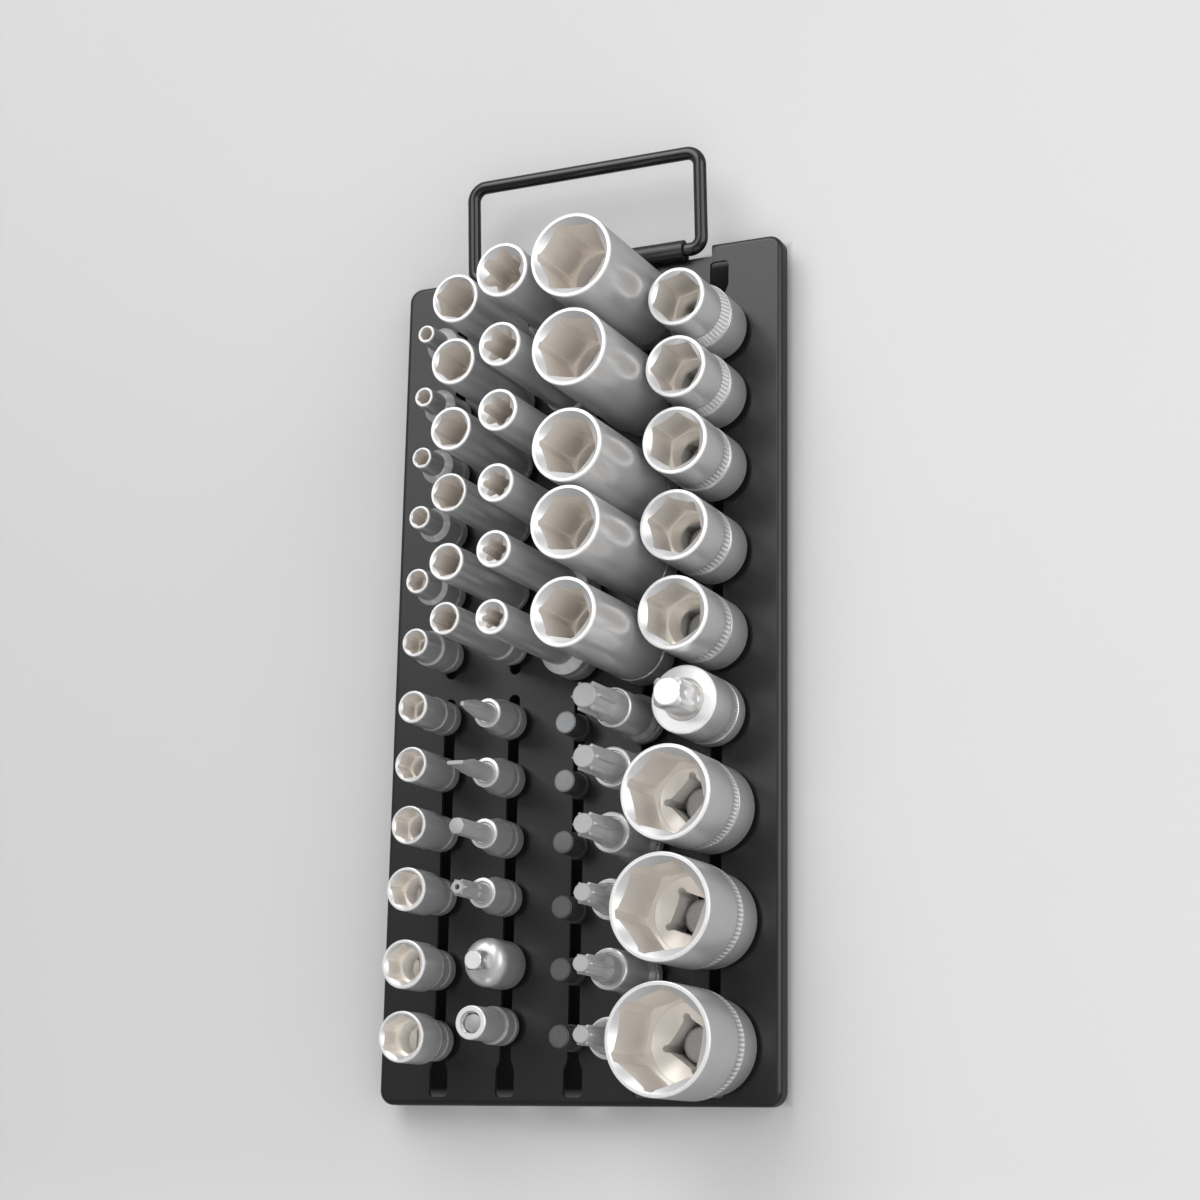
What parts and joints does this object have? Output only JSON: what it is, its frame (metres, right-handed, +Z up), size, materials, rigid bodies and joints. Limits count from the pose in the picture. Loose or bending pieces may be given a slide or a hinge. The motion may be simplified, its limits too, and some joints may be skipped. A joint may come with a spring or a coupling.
{
  "type": "socket organizer",
  "caption": "Wall-hung socket organizer: a folded black steel panel with a wire bail, sliding clips and satin chrome sockets, bits and adapters",
  "frame": {"origin": "bottom centre of the back edge of the rim, where the panel meets the wall", "axes": "+X to the right seen from the front, +Y into the wall, +Z up"},
  "size_m": [0.148, 0.0738, 0.3337],
  "materials": {
    "panel_black": "satin",
    "bail_black": "gloss",
    "clip_black": "satin",
    "satin_chrome": "satin",
    "bright_chrome": "gloss",
    "satin_steel": "satin"
  },
  "bodies": {
    "panel_frame": {"panel": "panel_black", "fixed_clips": "clip_black"},
    "bail": {"bail": "bail_black"},
    "row_1_upper": {"clips_1_upper": "clip_black"},
    "row_1_lower": {"clips_1_lower": "clip_black"},
    "row_2_upper": {"clips_2_upper": "clip_black"},
    "row_2_lower": {"clips_2_lower": "clip_black"},
    "row_3_upper": {"clips_3_upper": "clip_black"},
    "row_3_lower": {"clips_3_lower": "clip_black"},
    "row_4_lower": {"clips_4_lower": "clip_black"},
    "small_socket_1": {"small_socket_1": "satin_chrome"},
    "small_socket_2": {"small_socket_2": "satin_chrome"},
    "small_socket_3": {"small_socket_3": "satin_chrome"},
    "small_socket_4": {"small_socket_4": "satin_chrome"},
    "small_socket_5": {"small_socket_5": "satin_chrome"},
    "small_socket_6": {"small_socket_6": "satin_chrome"},
    "small_socket_7": {"small_socket_7": "satin_chrome"},
    "small_socket_8": {"small_socket_8": "satin_chrome"},
    "small_socket_9": {"small_socket_9": "satin_chrome"},
    "small_socket_10": {"small_socket_10": "satin_chrome"},
    "small_socket_11": {"small_socket_11": "satin_chrome"},
    "small_socket_12": {"small_socket_12": "satin_chrome"},
    "deep_socket_1": {"deep_socket_1": "satin_chrome"},
    "deep_socket_2": {"deep_socket_2": "satin_chrome"},
    "deep_socket_3": {"deep_socket_3": "satin_chrome"},
    "deep_socket_4": {"deep_socket_4": "satin_chrome"},
    "deep_socket_5": {"deep_socket_5": "satin_chrome"},
    "deep_socket_6": {"deep_socket_6": "satin_chrome"},
    "bit_socket_1": {"bit_socket_1": "satin_steel"},
    "bit_socket_2": {"bit_socket_2": "satin_steel"},
    "bit_socket_3": {"bit_socket_3": "satin_steel"},
    "bit_socket_4": {"bit_socket_4": "satin_steel"},
    "small_adapter": {"small_adapter": "bright_chrome"},
    "bit_holder": {"bit_holder": "bright_chrome"},
    "deep_star_socket_1": {"deep_star_socket_1": "satin_chrome"},
    "deep_star_socket_2": {"deep_star_socket_2": "satin_chrome"},
    "deep_star_socket_3": {"deep_star_socket_3": "satin_chrome"},
    "deep_star_socket_4": {"deep_star_socket_4": "satin_chrome"},
    "deep_star_socket_5": {"deep_star_socket_5": "satin_chrome"},
    "deep_star_socket_6": {"deep_star_socket_6": "satin_chrome"},
    "tall_socket_1": {"tall_socket_1": "satin_chrome"},
    "tall_socket_2": {"tall_socket_2": "satin_chrome"},
    "tall_socket_3": {"tall_socket_3": "satin_chrome"},
    "tall_socket_4": {"tall_socket_4": "satin_chrome"},
    "tall_socket_5": {"tall_socket_5": "satin_chrome"},
    "star_bit_socket_1": {"star_bit_socket_1": "satin_steel"},
    "star_bit_socket_2": {"star_bit_socket_2": "satin_steel"},
    "star_bit_socket_3": {"star_bit_socket_3": "satin_steel"},
    "star_bit_socket_4": {"star_bit_socket_4": "satin_steel"},
    "star_bit_socket_5": {"star_bit_socket_5": "satin_steel"},
    "star_bit_socket_6": {"star_bit_socket_6": "satin_steel"},
    "large_adapter": {"large_adapter": "bright_chrome"},
    "large_socket_1": {"large_socket_1": "satin_chrome"},
    "large_socket_2": {"large_socket_2": "satin_chrome"},
    "large_socket_3": {"large_socket_3": "satin_chrome"},
    "large_socket_4": {"large_socket_4": "satin_chrome"},
    "large_socket_5": {"large_socket_5": "satin_chrome"},
    "large_socket_6": {"large_socket_6": "satin_chrome"},
    "large_socket_7": {"large_socket_7": "satin_chrome"},
    "large_socket_8": {"large_socket_8": "satin_chrome"}
  },
  "joints": [
    {"name": "bail_turn", "type": "hinge", "parent": "panel_frame", "child": "bail", "pos_m": [0, -0.00843, 0.296], "axis": [1, 0, 0], "range_deg": [-90, 85.5]},
    {"name": "row_1_upper_slide", "type": "slide", "parent": "panel_frame", "child": "row_1_upper", "axis": [0, 0, 1], "range_m": [-0.0045, 0.008]},
    {"name": "row_1_lower_slide", "type": "slide", "parent": "panel_frame", "child": "row_1_lower", "axis": [0, 0, 1], "range_m": [-0.006, 0.004]},
    {"name": "row_2_upper_slide", "type": "slide", "parent": "panel_frame", "child": "row_2_upper", "axis": [0, 0, 1], "range_m": [-0.0055, 0.007]},
    {"name": "row_2_lower_slide", "type": "slide", "parent": "panel_frame", "child": "row_2_lower", "axis": [0, 0, 1], "range_m": [-0.008, 0.006]},
    {"name": "row_3_upper_slide", "type": "slide", "parent": "panel_frame", "child": "row_3_upper", "axis": [0, 0, 1], "range_m": [-0.0011, 0.006]},
    {"name": "row_3_lower_slide", "type": "slide", "parent": "panel_frame", "child": "row_3_lower", "axis": [0, 0, 1], "range_m": [-0.006, 0.009]},
    {"name": "row_4_lower_slide", "type": "slide", "parent": "panel_frame", "child": "row_4_lower", "axis": [0, 0, 1], "range_m": [-0.005, 0.0015]},
    {"name": "small_socket_1_pull", "type": "slide", "parent": "row_1_upper", "child": "small_socket_1", "axis": [0, -1, 0], "range_m": [0, 0.02]},
    {"name": "small_socket_2_pull", "type": "slide", "parent": "row_1_upper", "child": "small_socket_2", "axis": [0, -1, 0], "range_m": [0, 0.02]},
    {"name": "small_socket_3_pull", "type": "slide", "parent": "row_1_upper", "child": "small_socket_3", "axis": [0, -1, 0], "range_m": [0, 0.02]},
    {"name": "small_socket_4_pull", "type": "slide", "parent": "row_1_upper", "child": "small_socket_4", "axis": [0, -1, 0], "range_m": [0, 0.02]},
    {"name": "small_socket_5_pull", "type": "slide", "parent": "row_1_upper", "child": "small_socket_5", "axis": [0, -1, 0], "range_m": [0, 0.02]},
    {"name": "small_socket_6_pull", "type": "slide", "parent": "row_1_upper", "child": "small_socket_6", "axis": [0, -1, 0], "range_m": [0, 0.02]},
    {"name": "small_socket_7_pull", "type": "slide", "parent": "row_1_lower", "child": "small_socket_7", "axis": [0, -1, 0], "range_m": [0, 0.02]},
    {"name": "small_socket_8_pull", "type": "slide", "parent": "row_1_lower", "child": "small_socket_8", "axis": [0, -1, 0], "range_m": [0, 0.02]},
    {"name": "small_socket_9_pull", "type": "slide", "parent": "row_1_lower", "child": "small_socket_9", "axis": [0, -1, 0], "range_m": [0, 0.02]},
    {"name": "small_socket_10_pull", "type": "slide", "parent": "row_1_lower", "child": "small_socket_10", "axis": [0, -1, 0], "range_m": [0, 0.02]},
    {"name": "small_socket_11_pull", "type": "slide", "parent": "row_1_lower", "child": "small_socket_11", "axis": [0, -1, 0], "range_m": [0, 0.02]},
    {"name": "small_socket_12_pull", "type": "slide", "parent": "row_1_lower", "child": "small_socket_12", "axis": [0, -1, 0], "range_m": [0, 0.02]},
    {"name": "deep_socket_1_pull", "type": "slide", "parent": "row_2_upper", "child": "deep_socket_1", "axis": [0, -1, 0], "range_m": [0, 0.02]},
    {"name": "deep_socket_2_pull", "type": "slide", "parent": "row_2_upper", "child": "deep_socket_2", "axis": [0, -1, 0], "range_m": [0, 0.02]},
    {"name": "deep_socket_3_pull", "type": "slide", "parent": "row_2_upper", "child": "deep_socket_3", "axis": [0, -1, 0], "range_m": [0, 0.02]},
    {"name": "deep_socket_4_pull", "type": "slide", "parent": "row_2_upper", "child": "deep_socket_4", "axis": [0, -1, 0], "range_m": [0, 0.02]},
    {"name": "deep_socket_5_pull", "type": "slide", "parent": "row_2_upper", "child": "deep_socket_5", "axis": [0, -1, 0], "range_m": [0, 0.02]},
    {"name": "deep_socket_6_pull", "type": "slide", "parent": "row_2_upper", "child": "deep_socket_6", "axis": [0, -1, 0], "range_m": [0, 0.02]},
    {"name": "bit_socket_1_pull", "type": "slide", "parent": "row_2_lower", "child": "bit_socket_1", "axis": [0, -1, 0], "range_m": [0, 0.02]},
    {"name": "bit_socket_2_pull", "type": "slide", "parent": "row_2_lower", "child": "bit_socket_2", "axis": [0, -1, 0], "range_m": [0, 0.02]},
    {"name": "bit_socket_3_pull", "type": "slide", "parent": "row_2_lower", "child": "bit_socket_3", "axis": [0, -1, 0], "range_m": [0, 0.02]},
    {"name": "bit_socket_4_pull", "type": "slide", "parent": "row_2_lower", "child": "bit_socket_4", "axis": [0, -1, 0], "range_m": [0, 0.02]},
    {"name": "small_adapter_pull", "type": "slide", "parent": "row_2_lower", "child": "small_adapter", "axis": [0, -1, 0], "range_m": [0, 0.02]},
    {"name": "bit_holder_pull", "type": "slide", "parent": "row_2_lower", "child": "bit_holder", "axis": [0, -1, 0], "range_m": [0, 0.02]},
    {"name": "deep_star_socket_1_pull", "type": "slide", "parent": "row_3_upper", "child": "deep_star_socket_1", "axis": [0, -1, 0], "range_m": [0, 0.02]},
    {"name": "deep_star_socket_2_pull", "type": "slide", "parent": "row_3_upper", "child": "deep_star_socket_2", "axis": [0, -1, 0], "range_m": [0, 0.02]},
    {"name": "deep_star_socket_3_pull", "type": "slide", "parent": "row_3_upper", "child": "deep_star_socket_3", "axis": [0, -1, 0], "range_m": [0, 0.02]},
    {"name": "deep_star_socket_4_pull", "type": "slide", "parent": "row_3_upper", "child": "deep_star_socket_4", "axis": [0, -1, 0], "range_m": [0, 0.02]},
    {"name": "deep_star_socket_5_pull", "type": "slide", "parent": "row_3_upper", "child": "deep_star_socket_5", "axis": [0, -1, 0], "range_m": [0, 0.02]},
    {"name": "deep_star_socket_6_pull", "type": "slide", "parent": "row_3_upper", "child": "deep_star_socket_6", "axis": [0, -1, 0], "range_m": [0, 0.02]},
    {"name": "tall_socket_1_pull", "type": "slide", "parent": "panel_frame", "child": "tall_socket_1", "axis": [0, -1, 0], "range_m": [0, 0.02]},
    {"name": "tall_socket_2_pull", "type": "slide", "parent": "panel_frame", "child": "tall_socket_2", "axis": [0, -1, 0], "range_m": [0, 0.02]},
    {"name": "tall_socket_3_pull", "type": "slide", "parent": "panel_frame", "child": "tall_socket_3", "axis": [0, -1, 0], "range_m": [0, 0.02]},
    {"name": "tall_socket_4_pull", "type": "slide", "parent": "panel_frame", "child": "tall_socket_4", "axis": [0, -1, 0], "range_m": [0, 0.02]},
    {"name": "tall_socket_5_pull", "type": "slide", "parent": "panel_frame", "child": "tall_socket_5", "axis": [0, -1, 0], "range_m": [0, 0.02]},
    {"name": "star_bit_socket_1_pull", "type": "slide", "parent": "row_4_lower", "child": "star_bit_socket_1", "axis": [0, -1, 0], "range_m": [0, 0.02]},
    {"name": "star_bit_socket_2_pull", "type": "slide", "parent": "row_4_lower", "child": "star_bit_socket_2", "axis": [0, -1, 0], "range_m": [0, 0.02]},
    {"name": "star_bit_socket_3_pull", "type": "slide", "parent": "row_4_lower", "child": "star_bit_socket_3", "axis": [0, -1, 0], "range_m": [0, 0.02]},
    {"name": "star_bit_socket_4_pull", "type": "slide", "parent": "row_4_lower", "child": "star_bit_socket_4", "axis": [0, -1, 0], "range_m": [0, 0.02]},
    {"name": "star_bit_socket_5_pull", "type": "slide", "parent": "row_4_lower", "child": "star_bit_socket_5", "axis": [0, -1, 0], "range_m": [0, 0.02]},
    {"name": "star_bit_socket_6_pull", "type": "slide", "parent": "row_4_lower", "child": "star_bit_socket_6", "axis": [0, -1, 0], "range_m": [0, 0.0091]},
    {"name": "large_adapter_pull", "type": "slide", "parent": "panel_frame", "child": "large_adapter", "axis": [0, -1, 0], "range_m": [0, 0.02]},
    {"name": "large_socket_1_pull", "type": "slide", "parent": "panel_frame", "child": "large_socket_1", "axis": [0, -1, 0], "range_m": [0, 0.02]},
    {"name": "large_socket_2_pull", "type": "slide", "parent": "panel_frame", "child": "large_socket_2", "axis": [0, -1, 0], "range_m": [0, 0.02]},
    {"name": "large_socket_3_pull", "type": "slide", "parent": "panel_frame", "child": "large_socket_3", "axis": [0, -1, 0], "range_m": [0, 0.02]},
    {"name": "large_socket_4_pull", "type": "slide", "parent": "panel_frame", "child": "large_socket_4", "axis": [0, -1, 0], "range_m": [0, 0.02]},
    {"name": "large_socket_5_pull", "type": "slide", "parent": "panel_frame", "child": "large_socket_5", "axis": [0, -1, 0], "range_m": [0, 0.02]},
    {"name": "large_socket_6_pull", "type": "slide", "parent": "panel_frame", "child": "large_socket_6", "axis": [0, -1, 0], "range_m": [0, 0.02]},
    {"name": "large_socket_7_pull", "type": "slide", "parent": "panel_frame", "child": "large_socket_7", "axis": [0, -1, 0], "range_m": [0, 0.02]},
    {"name": "large_socket_8_pull", "type": "slide", "parent": "panel_frame", "child": "large_socket_8", "axis": [0, -1, 0], "range_m": [0, 0.02]}
  ]
}
